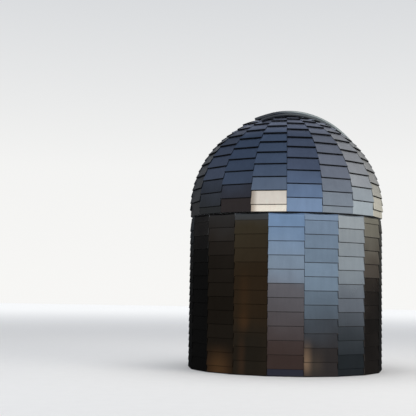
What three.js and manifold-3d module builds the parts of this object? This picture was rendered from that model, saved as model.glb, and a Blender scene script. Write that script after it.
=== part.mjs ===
// Observatory dome: an eighteen sided drum that carries a rotating eighteen sided dome with a sliding shutter.
// Millimetres, +Z up, origin on the ground under the middle of the drum, front towards -Y.
import * as THREE from 'three';
import { mergeVertices } from 'three/addons/utils/BufferGeometryUtils.js';
import Module from 'manifold-3d';

const wasm = await Module();
wasm.setup();

// Driving dimensions
const SIDES = 18;
const SEAT_GAP = 0.3;

const DRUM_RADIUS = 2585;
const WALL_THICKNESS = 100;
const WALL_TOP = 3885;
const FLOOR_THICKNESS = 100;

const DOOR_SIDE = 9;
const DOOR_HEIGHT = 2030;
const DOOR_THICKNESS = 60;

const BEAM_THICKNESS = 80;
const BEAM_INNER_RADIUS = 2350;
const DRUM_TOP = 4028;
const LIP_THICKNESS = 20;

const ROLLER_COUNT = 9;
const ROLLER_TRACK_RADIUS = 2410;
const ROLLER_RADIUS = 40;
const ROLLER_WIDTH = 36;
const CHEEK_THICKNESS = 8;
const CHEEK_WIDTH = 60;
const CHEEK_GAP = 9;
const AXLE_RADIUS = 10;

const DOME_RADIUS = 2600;
const DOME_BOTTOM = 4052;
const DOME_CENTRE = 4250;
const DOME_COURSE = 357;
const GORE_END_ANGLE = 80;
const DOME_RING_THICKNESS = 60;
const DOME_RING_INNER_RADIUS = 2340;
const GUIDE_INNER_RADIUS = 2345;
const GUIDE_OUTER_RADIUS = 2360;
const GUIDE_DEPTH = 40;
const GUIDE_SIDES = 72;
const GORE_THICKNESS = 40;

const SLIT_ANGLE = 30;
const SLIT_HALF_WIDTH = 440;
const SLIT_PAST_TOP = 440;
const CURB_THICKNESS = 50;
const CURB_INNER_RADIUS = 2440;
const CURB_OUTER_RADIUS = 2640;
const CURB_STEP = 4;
const HEAD_LENGTH = 100;
const HEAD_OUTER_RADIUS = 2625;

const SHUTTER_RADIUS = 2715;
const SHUTTER_SKIN = 20;
const SHUTTER_HALF_WIDTH = 545;
const SHUTTER_SIDE = 25;
const SHUTTER_SIDE_INNER_RADIUS = 2650;
const SHUTTER_START = -3;
const SHUTTER_END = 105;
const SHUTTER_STEP = 4.5;
const CROSS_THICKNESS = 20;
const CROSS_INNER_RADIUS = 2660;
const END_INNER_RADIUS = 2652;
const APRON_INNER_RADIUS = 2610;
const APRON_HALF_WIDTH = 425;
const SHUTTER_ROLLER_RADIUS = 24;
const SHUTTER_ROLLER_WIDTH = 30;
const SHUTTER_ROLLER_ANGLES = [4, 20, 36, 60, 80, 96];

// Values worked out from them
const radians = THREE.MathUtils.degToRad;
const SIDE_ANGLE = 360 / SIDES;
const HALF_SIDE = radians(SIDE_ANGLE / 2);
const DRUM_APOTHEM = DRUM_RADIUS * Math.cos(HALF_SIDE);
const FRAME_HALF_WIDTH = SLIT_HALF_WIDTH + CURB_THICKNESS;
const FRAME_PAST_TOP = SLIT_PAST_TOP + HEAD_LENGTH;
const GORE_BASE = DOME_BOTTOM + DOME_RING_THICKNESS + SEAT_GAP;
const SHUTTER_INNER_RADIUS = SHUTTER_RADIUS - SHUTTER_SKIN - SEAT_GAP;

// Finishes
const finish = (color, roughness, metalness) => new THREE.MeshStandardMaterial({ color, roughness, metalness });
const SHEATHING = finish(0x8a7a63, 0.8, 0.0);
const DOME_SHEET = finish(0x7c8893, 0.35, 0.9);
const STEEL = finish(0x4d5358, 0.5, 0.8);
const SHUTTER_SHEET = finish(0x8c9791, 0.3, 0.9);
const DOOR_SHEET = finish(0x5f656a, 0.4, 0.85);
const DECK = finish(0x77705f, 0.85, 0.0);

// Solids: a closed mesh goes to the boolean library and comes back as plain triangles
function toSolid(geometry) {
  const plain = geometry.clone();
  plain.deleteAttribute('normal');
  plain.deleteAttribute('uv');
  const merged = mergeVertices(plain, 1e-3);
  return new wasm.Manifold(new wasm.Mesh({
    numProp: 3,
    vertProperties: new Float32Array(merged.attributes.position.array),
    triVerts: new Uint32Array(merged.index.array),
  }));
}

function toGeometry(solid) {
  const mesh = solid.getMesh();
  const geometry = new THREE.BufferGeometry();
  geometry.setAttribute('position', new THREE.BufferAttribute(new Float32Array(mesh.vertProperties), 3));
  geometry.setIndex(new THREE.BufferAttribute(new Uint32Array(mesh.triVerts), 1));
  return geometry;
}

const join = (geometries) => toGeometry(geometries.map(toSolid).reduce((sum, solid) => sum.add(solid)));

// An upright prism from a plan outline, between two heights
function prism(outline, bottom, top) {
  const shape = new THREE.Shape(outline.map(([x, y]) => new THREE.Vector2(x, y)));
  const geometry = new THREE.ExtrudeGeometry(shape, { depth: top - bottom, bevelEnabled: false });
  return geometry.translate(0, 0, bottom);
}

// A box between two corners
function block([x0, y0, z0], [x1, y1, z1]) {
  return new THREE.BoxGeometry(x1 - x0, y1 - y0, z1 - z0)
    .translate((x0 + x1) / 2, (y0 + y1) / 2, (z0 + z1) / 2);
}

// A ring turned about the upright axis from a closed profile of [radius, height]
function ring(profile, sides, startAngle) {
  const points = [...profile, profile[0]].map(([radius, height]) => new THREE.Vector2(radius, height));
  return new THREE.LatheGeometry(points, sides, startAngle, 2 * Math.PI).rotateX(Math.PI / 2);
}

// A cylinder along +X between two distances from the upright axis
function radialCylinder(radius, from, to, height, segments) {
  return new THREE.CylinderGeometry(radius, radius, to - from, segments)
    .rotateZ(Math.PI / 2)
    .translate((from + to) / 2, 0, height);
}

// Plan of one wall side, facing +X, as thick as asked and mitred to its neighbours
function sideOutline(thickness, sideGap = SEAT_GAP / 2) {
  const inner = DRUM_APOTHEM - thickness;
  const edge = (distance) => distance * Math.tan(HALF_SIDE) - sideGap / Math.cos(HALF_SIDE);
  return [
    [inner, -edge(inner)],
    [DRUM_APOTHEM, -edge(DRUM_APOTHEM)],
    [DRUM_APOTHEM, edge(DRUM_APOTHEM)],
    [inner, edge(inner)],
  ];
}

// Direction of a wall side and of a gore, counted from the front anticlockwise seen from above
const sideDirection = (index) => radians(-90 + SIDE_ANGLE * index);
const goreDirection = (index) => radians(-90 + SIDE_ANGLE * (index + 0.5));

const dome = new THREE.Group();
const model = new THREE.Group();
model.add(dome);

function addPiece(group, name, geometry, material, turn = 0) {
  const mesh = new THREE.Mesh(geometry, material);
  mesh.name = name;
  mesh.rotation.z = turn;
  group.add(mesh);
}

const number = (index) => String(index + 1).padStart(2, '0');

// Wall: seventeen full sides, and over the door a short one
function addWalls() {
  for (let index = 0; index < SIDES; index += 1) {
    const bottom = index === DOOR_SIDE ? FLOOR_THICKNESS + DOOR_HEIGHT + SEAT_GAP : 0;
    const geometry = prism(sideOutline(WALL_THICKNESS), bottom, WALL_TOP);
    addPiece(model, `wall_panel_${number(index)}`, geometry, SHEATHING, sideDirection(index));
  }
}

// Door leaf that fills one whole side, mitred like a wall panel
function addDoor() {
  const geometry = prism(sideOutline(DOOR_THICKNESS), FLOOR_THICKNESS + SEAT_GAP, FLOOR_THICKNESS + DOOR_HEIGHT);
  addPiece(model, 'door_leaf', geometry, DOOR_SHEET, sideDirection(DOOR_SIDE));
}

// Floor inside the walls, with a threshold that runs out under the door leaf
function addFloor() {
  const apothem = DRUM_APOTHEM - WALL_THICKNESS - SEAT_GAP;
  const corner = apothem / Math.cos(HALF_SIDE);
  const outline = [];
  for (let index = 0; index < SIDES; index += 1) {
    const angle = radians(SIDE_ANGLE * (index + 0.5));
    outline.push([corner * Math.cos(angle), corner * Math.sin(angle)]);
  }
  const threshold = sideOutline(WALL_THICKNESS + 2 * SEAT_GAP, SEAT_GAP);
  const geometry = join([prism(outline, 0, FLOOR_THICKNESS), prism(threshold, 0, FLOOR_THICKNESS)]);
  addPiece(model, 'floor', geometry, DECK, sideDirection(DOOR_SIDE));
}

// Roller on its two cheeks, standing on the beam at the front of the ring, axle pointing to the middle
function roller() {
  const beamTop = WALL_TOP + BEAM_THICKNESS;
  const centreHeight = DOME_BOTTOM - SEAT_GAP - ROLLER_RADIUS;
  const wheelFrom = ROLLER_TRACK_RADIUS - ROLLER_WIDTH / 2;
  const wheelTo = ROLLER_TRACK_RADIUS + ROLLER_WIDTH / 2;
  const cheekFrom = wheelFrom - CHEEK_GAP;
  const cheekTo = wheelTo + CHEEK_GAP;
  const cheekTop = centreHeight + AXLE_RADIUS * 1.5;
  return [
    radialCylinder(ROLLER_RADIUS, wheelFrom, wheelTo, centreHeight, 24),
    radialCylinder(AXLE_RADIUS, cheekFrom - CHEEK_THICKNESS, cheekTo + CHEEK_THICKNESS, centreHeight, 10),
    block([cheekFrom - CHEEK_THICKNESS, -CHEEK_WIDTH / 2, beamTop - 5], [cheekFrom, CHEEK_WIDTH / 2, cheekTop]),
    block([cheekTo, -CHEEK_WIDTH / 2, beamTop - 5], [cheekTo + CHEEK_THICKNESS, CHEEK_WIDTH / 2, cheekTop]),
  ];
}

// Ring beam on the walls, with a weather lip at its edge and the rollers that carry the dome
function addRingBeam() {
  const bottom = WALL_TOP + SEAT_GAP;
  const top = WALL_TOP + BEAM_THICKNESS;
  const lipRadius = DRUM_RADIUS - LIP_THICKNESS;
  const profile = [
    [BEAM_INNER_RADIUS, bottom],
    [DRUM_RADIUS, bottom],
    [DRUM_RADIUS, DRUM_TOP],
    [lipRadius, DRUM_TOP],
    [lipRadius, top],
    [BEAM_INNER_RADIUS, top],
  ];
  const parts = [ring(profile, SIDES, HALF_SIDE)];
  for (let index = 0; index < ROLLER_COUNT; index += 1) {
    const turn = sideDirection(index * SIDES / ROLLER_COUNT);
    parts.push(...roller().map((piece) => piece.rotateZ(turn)));
  }
  addPiece(model, 'ring_beam', join(parts), STEEL);
}

// The dome's own ring, flat below where it runs on the rollers, with a round lip that keeps it centred
function addDomeRing() {
  const top = DOME_BOTTOM + DOME_RING_THICKNESS;
  const plate = [
    [DOME_RING_INNER_RADIUS, DOME_BOTTOM],
    [DOME_RADIUS, DOME_BOTTOM],
    [DOME_RADIUS, top],
    [DOME_RING_INNER_RADIUS, top],
  ];
  const lip = [
    [GUIDE_INNER_RADIUS, DOME_BOTTOM - GUIDE_DEPTH],
    [GUIDE_OUTER_RADIUS, DOME_BOTTOM - GUIDE_DEPTH],
    [GUIDE_OUTER_RADIUS, DOME_BOTTOM + 5],
    [GUIDE_INNER_RADIUS, DOME_BOTTOM + 5],
  ];
  addPiece(dome, 'dome_ring', join([ring(plate, SIDES, 0), ring(lip, GUIDE_SIDES, 0)]), STEEL);
}

// Stations of a gore: its flat courses end on a profile that goes straight up and then over in a quarter circle
function goreStations(index) {
  const firstCourse = index % 2 === 0 ? 1 : 0.5;
  const stations = [{ upright: true }];
  const lastAngle = radians(GORE_END_ANGLE);
  const straight = DOME_CENTRE - DOME_BOTTOM;
  for (let course = firstCourse; ; course += 1) {
    const angle = (course * DOME_COURSE - straight) / DOME_RADIUS;
    if (angle >= lastAngle) {
      break;
    }
    if (angle > 0) {
      stations.push({ angle });
    }
  }
  stations.push({ angle: lastAngle });
  return stations;
}

// One gore facing +X, as thick as the folded sheet and its edge flanges, lofted from station to station
function goreGeometry(index) {
  const point = (station, radius, side) => {
    const corner = station.upright ? radius : radius * Math.cos(station.angle);
    const height = station.upright ? GORE_BASE : DOME_CENTRE + radius * Math.sin(station.angle);
    const across = corner * Math.sin(HALF_SIDE) - SEAT_GAP / 2 / Math.cos(HALF_SIDE);
    return [corner * Math.cos(HALF_SIDE), side * across, height];
  };
  const section = (station) => [
    point(station, DOME_RADIUS, -1),
    point(station, DOME_RADIUS, 1),
    point(station, DOME_RADIUS - GORE_THICKNESS, 1),
    point(station, DOME_RADIUS - GORE_THICKNESS, -1),
  ];
  return loft(goreStations(index).map(section));
}

// A closed solid through rings of points, each ring an outline that is counted the same way
function loft(rings) {
  const count = rings[0].length;
  const index = [];
  for (let level = 0; level + 1 < rings.length; level += 1) {
    for (let corner = 0; corner < count; corner += 1) {
      const next = (corner + 1) % count;
      const low = level * count;
      const high = low + count;
      index.push(low + corner, low + next, high + next);
      index.push(low + corner, high + next, high + corner);
    }
  }
  const flat = rings[0].map(([x, y]) => new THREE.Vector2(x, y));
  const top = (rings.length - 1) * count;
  for (const [a, b, c] of THREE.ShapeUtils.triangulateShape(flat, [])) {
    index.push(a, c, b);
    index.push(top + a, top + b, top + c);
  }
  const geometry = new THREE.BufferGeometry();
  geometry.setAttribute('position', new THREE.Float32BufferAttribute(rings.flat(2), 3));
  geometry.setIndex(index);
  return geometry;
}

// Gores, cut back to the outside of the frame that borders the slit
function addGores() {
  const past = -FRAME_PAST_TOP - SEAT_GAP;
  const half = FRAME_HALF_WIDTH + SEAT_GAP;
  const reach = DOME_RADIUS + 100;
  for (let index = 0; index < SIDES; index += 1) {
    const turn = goreDirection(index);
    const slit = block([past, -half, GORE_BASE - 10], [reach, half, DOME_CENTRE + reach])
      .rotateZ(radians(SLIT_ANGLE) - turn);
    const geometry = toGeometry(toSolid(goreGeometry(index)).subtract(toSolid(slit)));
    addPiece(dome, `dome_gore_${number(index)}`, geometry, DOME_SHEET, turn);
  }
}

// Everything beside and over the slit is drawn in the slit's upright plane, about the dome's centre,
// with x out towards the slit and y up, and is given its thickness across the slit
const slitFrame = new THREE.Group();
slitFrame.rotation.z = radians(SLIT_ANGLE);
slitFrame.position.z = DOME_CENTRE;
dome.add(slitFrame);

const polar = (radius, degrees) => [radius * Math.cos(radians(degrees)), radius * Math.sin(radians(degrees))];

function across(outline, from, to) {
  return prism(outline, from, to).rotateX(Math.PI / 2);
}

// Outline of an arch between two radii, through the same angles on both
function arch(inner, outer, angles) {
  return [
    ...angles.map((degrees) => polar(outer, degrees)),
    ...angles.toReversed().map((degrees) => polar(inner, degrees)),
  ];
}

const heightOn = (radius, x) => Math.sqrt(radius * radius - x * x);

// Arched curbs at both sides of the slit, from the dome's ring to past the top, which carry the shutter
function addCurbs() {
  const foot = GORE_BASE - DOME_CENTRE;
  const outline = [[heightOn(CURB_OUTER_RADIUS, foot), foot]];
  const lastAngle = 100;
  for (let degrees = 0; degrees <= lastAngle; degrees += CURB_STEP) {
    outline.push(polar(CURB_OUTER_RADIUS, degrees));
  }
  outline.push([-FRAME_PAST_TOP, heightOn(CURB_OUTER_RADIUS, FRAME_PAST_TOP) - 1]);
  outline.push([-FRAME_PAST_TOP, heightOn(CURB_INNER_RADIUS, FRAME_PAST_TOP)]);
  for (let degrees = lastAngle; degrees >= 0; degrees -= CURB_STEP) {
    outline.push(polar(CURB_INNER_RADIUS, degrees));
  }
  outline.push([heightOn(CURB_INNER_RADIUS, foot), foot]);
  const right = across(outline, SLIT_HALF_WIDTH, FRAME_HALF_WIDTH);
  const left = across(outline, -FRAME_HALF_WIDTH, -SLIT_HALF_WIDTH);
  addPiece(slitFrame, 'slit_curb_right', right, STEEL);
  addPiece(slitFrame, 'slit_curb_left', left, STEEL);
}

// Cross piece that closes the slit past the top of the dome
function addSlitHead() {
  const outline = [
    [-SLIT_PAST_TOP, heightOn(HEAD_OUTER_RADIUS, SLIT_PAST_TOP)],
    [-FRAME_PAST_TOP, heightOn(HEAD_OUTER_RADIUS, FRAME_PAST_TOP)],
    [-FRAME_PAST_TOP, heightOn(CURB_INNER_RADIUS, FRAME_PAST_TOP)],
    [-SLIT_PAST_TOP, heightOn(CURB_INNER_RADIUS, SLIT_PAST_TOP)],
  ];
  const half = SLIT_HALF_WIDTH - SEAT_GAP;
  addPiece(slitFrame, 'slit_head', across(outline, -half, half), STEEL);
}

// Angles of the shutter's bends, from its lower to its upper end
function shutterAngles() {
  const angles = [];
  const bends = (SHUTTER_END - SHUTTER_START) / SHUTTER_STEP;
  for (let bend = 0; bend <= bends; bend += 1) {
    angles.push(SHUTTER_START + bend * SHUTTER_STEP);
  }
  return angles;
}

// A flat cross plate of the shutter at one angle, its thickness along the arch
function crossPlate(degrees, thickness, innerRadius, halfWidth) {
  const halfBend = Math.cos(radians(SHUTTER_STEP / 2));
  const outer = SHUTTER_INNER_RADIUS * halfBend - SEAT_GAP;
  return block([innerRadius, -halfWidth, -thickness / 2], [outer, halfWidth, thickness / 2])
    .rotateY(-radians(degrees));
}

// Roller on the inside of a shutter side, on top of the curb below it
function shutterRoller(degrees, side) {
  const centre = CURB_OUTER_RADIUS + SEAT_GAP + SHUTTER_ROLLER_RADIUS;
  const middle = side * (SLIT_HALF_WIDTH + CURB_THICKNESS / 2);
  const axleEnd = side * (SHUTTER_HALF_WIDTH - SHUTTER_SIDE / 2);
  const wheel = new THREE.CylinderGeometry(
    SHUTTER_ROLLER_RADIUS, SHUTTER_ROLLER_RADIUS, SHUTTER_ROLLER_WIDTH, 20,
  );
  const axle = new THREE.CylinderGeometry(AXLE_RADIUS, AXLE_RADIUS, Math.abs(axleEnd - middle), 10);
  return [wheel.translate(0, middle, 0), axle.translate(0, (middle + axleEnd) / 2, 0)]
    .map((piece) => piece.translate(centre, 0, 0).rotateY(-radians(degrees)));
}

// Shutter: a curved skin over a frame of two arched sides, cross plates and the rollers
function addShutter() {
  const angles = shutterAngles();
  const skinInner = SHUTTER_RADIUS - SHUTTER_SKIN;
  const skin = across(arch(skinInner, SHUTTER_RADIUS, angles), -SHUTTER_HALF_WIDTH, SHUTTER_HALF_WIDTH);
  addPiece(slitFrame, 'shutter_skin', skin, SHUTTER_SHEET);

  const sideOutlines = arch(SHUTTER_SIDE_INNER_RADIUS, SHUTTER_INNER_RADIUS, angles);
  const inside = SHUTTER_HALF_WIDTH - SHUTTER_SIDE;
  const reach = inside + SHUTTER_SIDE / 2;
  const halfEnd = THREE.MathUtils.radToDeg(CROSS_THICKNESS / 2 / SHUTTER_RADIUS);
  const lowerEnd = SHUTTER_START + 1.2 * halfEnd;
  const upperEnd = SHUTTER_END - 1.2 * halfEnd;
  const parts = [
    across(sideOutlines, inside, SHUTTER_HALF_WIDTH),
    across(sideOutlines, -SHUTTER_HALF_WIDTH, -inside),
    crossPlate(lowerEnd, CROSS_THICKNESS, END_INNER_RADIUS, reach),
    crossPlate(lowerEnd, CROSS_THICKNESS, APRON_INNER_RADIUS, APRON_HALF_WIDTH),
    crossPlate(upperEnd, CROSS_THICKNESS, END_INNER_RADIUS, reach),
  ];
  for (const degrees of SHUTTER_ROLLER_ANGLES) {
    parts.push(crossPlate(degrees, CROSS_THICKNESS, CROSS_INNER_RADIUS, reach));
    parts.push(...shutterRoller(degrees, 1), ...shutterRoller(degrees, -1));
  }
  addPiece(slitFrame, 'shutter_frame', join(parts), STEEL);
}

addWalls();
addDoor();
addFloor();
addRingBeam();
addDomeRing();
addGores();
addCurbs();
addSlitHead();
addShutter();

export default model;
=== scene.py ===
import math

import bmesh
import bpy
import numpy as np
from mathutils import Matrix, Vector


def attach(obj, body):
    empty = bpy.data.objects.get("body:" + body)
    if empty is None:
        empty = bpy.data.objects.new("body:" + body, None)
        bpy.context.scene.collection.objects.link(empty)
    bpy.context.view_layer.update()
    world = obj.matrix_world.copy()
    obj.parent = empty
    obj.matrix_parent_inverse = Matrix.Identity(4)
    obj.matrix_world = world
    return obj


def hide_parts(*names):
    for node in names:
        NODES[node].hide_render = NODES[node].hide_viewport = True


# Sizes in metres and places along the arch in degrees. Those that the part has too are the same there.
SIDES = 18
SIDE_TURN = 360.0 / SIDES
HALF_SIDE = math.radians(SIDE_TURN / 2)
DRUM_RADIUS = 2.585
DRUM_APOTHEM = DRUM_RADIUS * math.cos(HALF_SIDE)
DRUM_PLATE_TOP = 4.030
DRUM_COURSE = 0.350
DRUM_FOOT = 0.012
LEAST_PLATE = 0.030
FLOOR_TOP = 0.100
DOOR_SIDE = 9
DOOR_TOP = 2.130
DOOR_HALF = DRUM_APOTHEM * math.tan(HALF_SIDE) - 0.006
HINGE_HEIGHTS = (0.42, 1.12, 1.82)
PULL_BOTTOM = 1.02
PULL_TOP = 1.34
PULL_INSET = 0.100
LOCK_HEIGHT = 0.930
DOME_RADIUS = 2.600
DOME_BOTTOM = 4.052
DOME_CENTRE = 4.250
DOME_STRAIGHT = DOME_CENTRE - DOME_BOTTOM
DOME_COURSE = 0.357
DOME_PLATES_END = 86.0
MOST_COURSES = 12.0
DULL_SIDES = (4, 14)
SLIT_ANGLE = math.radians(30.0)
FRAME_HALF_WIDTH = 0.490
FRAME_PAST_TOP = 0.540
FRAME_CLEARANCE = 0.003
FLASHING_HALF_WIDTH = 0.545
FLASHING_TOP = 2.6425
FLASHING_SINK = 0.012
FLASHING_END = 104.5
RAIL_END = 114.3
HEAD_ANGLE = 101.8
SHUTTER_RADIUS = 2.715
SHUTTER_SKIRT_RADIUS = 2.648
SHUTTER_HALF_WIDTH = 0.547
SHUTTER_START = -3.0
SHUTTER_END = 105.0
SHUTTER_LAPS = 5
SHUTTER_CAMBER = 0.010
SHUTTER_SHOULDER = 0.014
SHUTTER_LAP_FALL = 0.003
CAMBERED_FROM = 2.700
RIVET_PITCH = 1.9
UPPER_SEAL_RADIUS = 2.646
LOWER_SEAL_RADIUS = 2.652

# How the distance to the gores is found: how often it is corrected, and by which share of the miss
CORRECTIONS = 30
CORRECTION_SHARE = 0.4

# Sheets and folded plates
SHEET = 0.0016
TRIM_SHEET = 0.0015
COVER_SHEET = 0.002
TUCK = 0.040
FOLD = 0.008
PLATE_GAP = 0.0030
DRUM_LIFT = (0.038, 0.003)
DOME_LIFT = (0.040, 0.004)
SEAM_LIFT = 0.012
DENT = 0.0011
# Share of painted shade on the fold above each lap, on the drum and on the dome
DRUM_FOLD_SHADE = 0.6
DOME_FOLD_SHADE = 0.85
DRUM_SEED = 100
DOME_SEED = 300

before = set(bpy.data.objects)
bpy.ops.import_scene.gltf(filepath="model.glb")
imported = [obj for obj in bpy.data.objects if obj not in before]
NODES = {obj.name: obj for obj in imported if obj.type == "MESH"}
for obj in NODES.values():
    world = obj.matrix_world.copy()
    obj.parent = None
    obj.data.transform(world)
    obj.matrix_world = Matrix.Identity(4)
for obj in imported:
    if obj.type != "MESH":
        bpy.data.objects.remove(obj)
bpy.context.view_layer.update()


# Shader maths
class Term:
    """A number that varies over a surface. Sums, products and shares of it add Math nodes."""

    def __init__(self, maker, socket):
        self.maker = maker
        self.socket = socket

    def _math(self, operation, first, second):
        node = self.maker.node("ShaderNodeMath", {"operation": operation}, {0: first, 1: second})
        return Term(self.maker, node.outputs[0])

    def __add__(self, other):
        return self._math("ADD", self, other)

    def __radd__(self, other):
        return self._math("ADD", other, self)

    def __sub__(self, other):
        return self._math("SUBTRACT", self, other)

    def __rsub__(self, other):
        return self._math("SUBTRACT", other, self)

    def __mul__(self, other):
        return self._math("MULTIPLY", self, other)

    def __truediv__(self, other):
        return self._math("DIVIDE", self, other)

    def turn_from(self, other):
        """Angle in radians of the point whose coordinates are the other term and this one."""
        return self._math("ARCTAN2", self, other)

    def fraction(self):
        """What the number has after its decimal point."""
        return self._math("FRACT", self, 0.0)


def set_stops(ramp, stops):
    """Gives a colour ramp its stops, each a position and a colour."""
    ramp.elements.remove(ramp.elements[1])
    for place, (position, colour) in enumerate(stops):
        stop = ramp.elements[0] if place == 0 else ramp.elements.new(position)
        stop.position = position
        stop.color = (*colour, 1.0)


class Finish:
    """A node material under construction."""

    def __init__(self, name, metallic, roughness):
        self.material = bpy.data.materials.new(name)
        self.material.use_nodes = True
        self.tree = self.material.node_tree
        self.shader = self.tree.nodes["Principled BSDF"]
        self.shader.inputs["Metallic"].default_value = metallic
        self.shader.inputs["Roughness"].default_value = roughness

    def node(self, kind, settings=None, sockets=None):
        """Adds a node, sets it up, then fills its sockets with values or links."""
        made = self.tree.nodes.new(kind)
        for key, value in (settings or {}).items():
            if key == "stops":
                set_stops(made.color_ramp, value)
            else:
                setattr(made, key, value)
        for key, value in (sockets or {}).items():
            self.feed(made.inputs[key], value)
        return made

    def feed(self, socket, value):
        """Links a term or a node's output to a socket, or sets the socket to a number or colour."""
        if isinstance(value, Term):
            self.tree.links.new(value.socket, socket)
        elif isinstance(value, bpy.types.NodeSocket):
            self.tree.links.new(value, socket)
        elif isinstance(value, tuple) and len(value) == 3 and socket.type == "RGBA":
            socket.default_value = (*value, 1.0)
        else:
            socket.default_value = value

    def out(self, name, value):
        """Feeds one socket of the surface shader."""
        self.feed(self.shader.inputs[name], value)

    def place(self):
        """The point on the piece, as x, y and z terms and as one vector."""
        point = self.node("ShaderNodeTexCoord").outputs["Object"]
        parts = self.node("ShaderNodeSeparateXYZ", {}, {0: point})
        return point, [Term(self, parts.outputs[axis]) for axis in range(3)]

    def mark(self, name):
        """A number kept in the mesh under this name."""
        made = self.node("ShaderNodeAttribute", {"attribute_name": name})
        return Term(self, made.outputs["Fac"])

    def noise(self, point, scale, detail, roughness=0.5):
        """Soft random clouds between 0 and 1."""
        made = self.node("ShaderNodeTexNoise", {}, {
            "Vector": point, "Scale": scale, "Detail": detail, "Roughness": roughness})
        return Term(self, made.outputs["Fac"])

    def stretch(self, point, scale):
        """The point with each of its coordinates times a number."""
        made = self.node("ShaderNodeMapping", {}, {"Vector": point, "Scale": scale})
        return made.outputs[0]

    def between(self, value, low, high):
        """Goes smoothly from 0 to 1 as the value goes from low to high."""
        made = self.node("ShaderNodeMapRange", {"interpolation_type": "SMOOTHSTEP"}, {
            "Value": value, "From Min": low, "From Max": high})
        return Term(self, made.outputs[0])

    def ramp(self, value, stops):
        """The colour at this value between the stops."""
        made = self.node("ShaderNodeValToRGB", {"stops": stops}, {"Fac": value})
        return made.outputs["Color"]

    def first_channel(self, colour):
        """The one number that a grey colour carries."""
        return Term(self, self.node("ShaderNodeSeparateColor", {}, {0: colour}).outputs[0])

    def blend(self, factor, first, second, kind="MIX"):
        """Colour mix, first where the factor is 0 and second where it is 1."""
        made = self.node("ShaderNodeMix", {"data_type": "RGBA", "blend_type": kind}, {
            0: factor, 6: first, 7: second})
        return made.outputs[2]

    def lit(self, colour, light):
        """The colour times a number that varies."""
        even = self.node("ShaderNodeCombineColor", {}, {0: light, 1: light, 2: light})
        return self.blend(1.0, colour, even.outputs[0], "MULTIPLY")

    def bump(self, height, distance, strength):
        """Small relief of this height."""
        made = self.node("ShaderNodeBump", {}, {"Height": height, "Distance": distance, "Strength": strength})
        self.out("Normal", made.outputs[0])


def grey(value):
    """A ramp colour that carries one number."""
    return (value, value, value)


def facing_stops(pairs):
    """Stops by the direction that a side faces: degrees from the front, right positive, onto 0 to 1."""
    return [((degrees + 180.0) / 360.0, colour) for degrees, colour in pairs]


# Finishes
def sheet_steel(name, colour, roughness, tone_spread, fold_shade_colour, edge_tint, metallic=0.94, shine=0.5):
    """Satin stainless sheet: the colour, with a little change from plate to plate, soft clouds in the polish,
    fine brushing along the sheet, and painted shade on the turned-in edges and folds in the fold shade
    colour, or its own where that is darker. The edge tint is what it still mirrors at a glancing angle; sheet
    that is to show no glancing mirror light is made less metallic."""
    made = Finish(name, metallic, roughness)
    made.shader.inputs["Specular Tint"].default_value = (edge_tint, edge_tint, edge_tint, 1.0)
    made.shader.inputs["Specular IOR Level"].default_value = shine
    point, _ = made.place()
    tone = made.mark("tone")
    edge = made.mark("edge")
    clouds = made.noise(point, 1.6, 4.0, 0.55)
    streaks = made.noise(made.stretch(point, (3.0, 3.0, 0.35)), 3.2, 3.0, 0.6)
    light = 1.0 + (tone - 0.5) * tone_spread + (clouds - 0.5) * 0.30 + (streaks - 0.5) * 0.18
    shaded = made.lit(colour(made), light)
    # Painted shade on the turned-in edges and folds: the fold shade colour, or the sheet's own where darker
    made.out("Base Color", made.blend(edge, shaded, made.blend(1.0, shaded, fold_shade_colour, "DARKEN")))
    made.out("Roughness", roughness + (clouds - 0.5) * 0.12 + edge * 0.25)
    brushing = made.noise(made.stretch(point, (6.0, 6.0, 140.0)), 5.0, 2.0, 0.5)
    made.bump(clouds * 0.8 + brushing * 0.02, 0.010, 0.35)
    return made.material


# Painted reflection: colours standing in for what the drum's sheets mirror, by the direction that a side
# faces: light tones over a dividing height, dark ones under it, both going over to other tones close to it.
# The divide is a share of this height.
DIVIDE_SCALE = 4.05
DIVIDE = facing_stops([
    (-180, grey(0.55)), (-120, grey(0.45)), (-80, grey(0.80)), (-60, grey(0.96)), (-40, grey(0.925)),
    (-30, grey(0.93)), (-14, grey(0.965)), (-6, grey(0.57)), (8, grey(0.57)), (20, grey(0.56)),
    (40, grey(0.54)), (52, grey(0.60)), (60, grey(0.785)), (90, grey(0.70)), (180, grey(0.55)),
])
UPPER = facing_stops([
    (-180, (0.20, 0.26, 0.33)), (-100, (0.10, 0.12, 0.15)), (-80, (0.030, 0.033, 0.036)),
    (-55, (0.036, 0.036, 0.038)), (-35, (0.053, 0.053, 0.057)), (-18, (0.09, 0.10, 0.115)),
    (-8, (0.21, 0.315, 0.48)), (8, (0.21, 0.315, 0.48)), (20, (0.26, 0.345, 0.465)),
    (40, (0.38, 0.415, 0.435)), (60, (0.52, 0.50, 0.41)), (80, (0.10, 0.10, 0.09)),
    (105, (0.22, 0.24, 0.26)), (180, (0.20, 0.26, 0.33)),
])
OVER_DIVIDE = facing_stops([
    (-180, (0.21, 0.25, 0.30)), (-100, (0.09, 0.10, 0.12)), (-80, (0.022, 0.024, 0.026)),
    (-60, (0.056, 0.055, 0.055)), (-35, (0.037, 0.036, 0.036)), (-18, (0.07, 0.075, 0.08)),
    (-8, (0.27, 0.345, 0.44)), (8, (0.27, 0.345, 0.44)), (20, (0.20, 0.268, 0.346)),
    (40, (0.28, 0.32, 0.355)), (60, (0.27, 0.255, 0.22)), (80, (0.05, 0.05, 0.045)),
    (105, (0.20, 0.22, 0.24)), (180, (0.21, 0.25, 0.30)),
])
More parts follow.
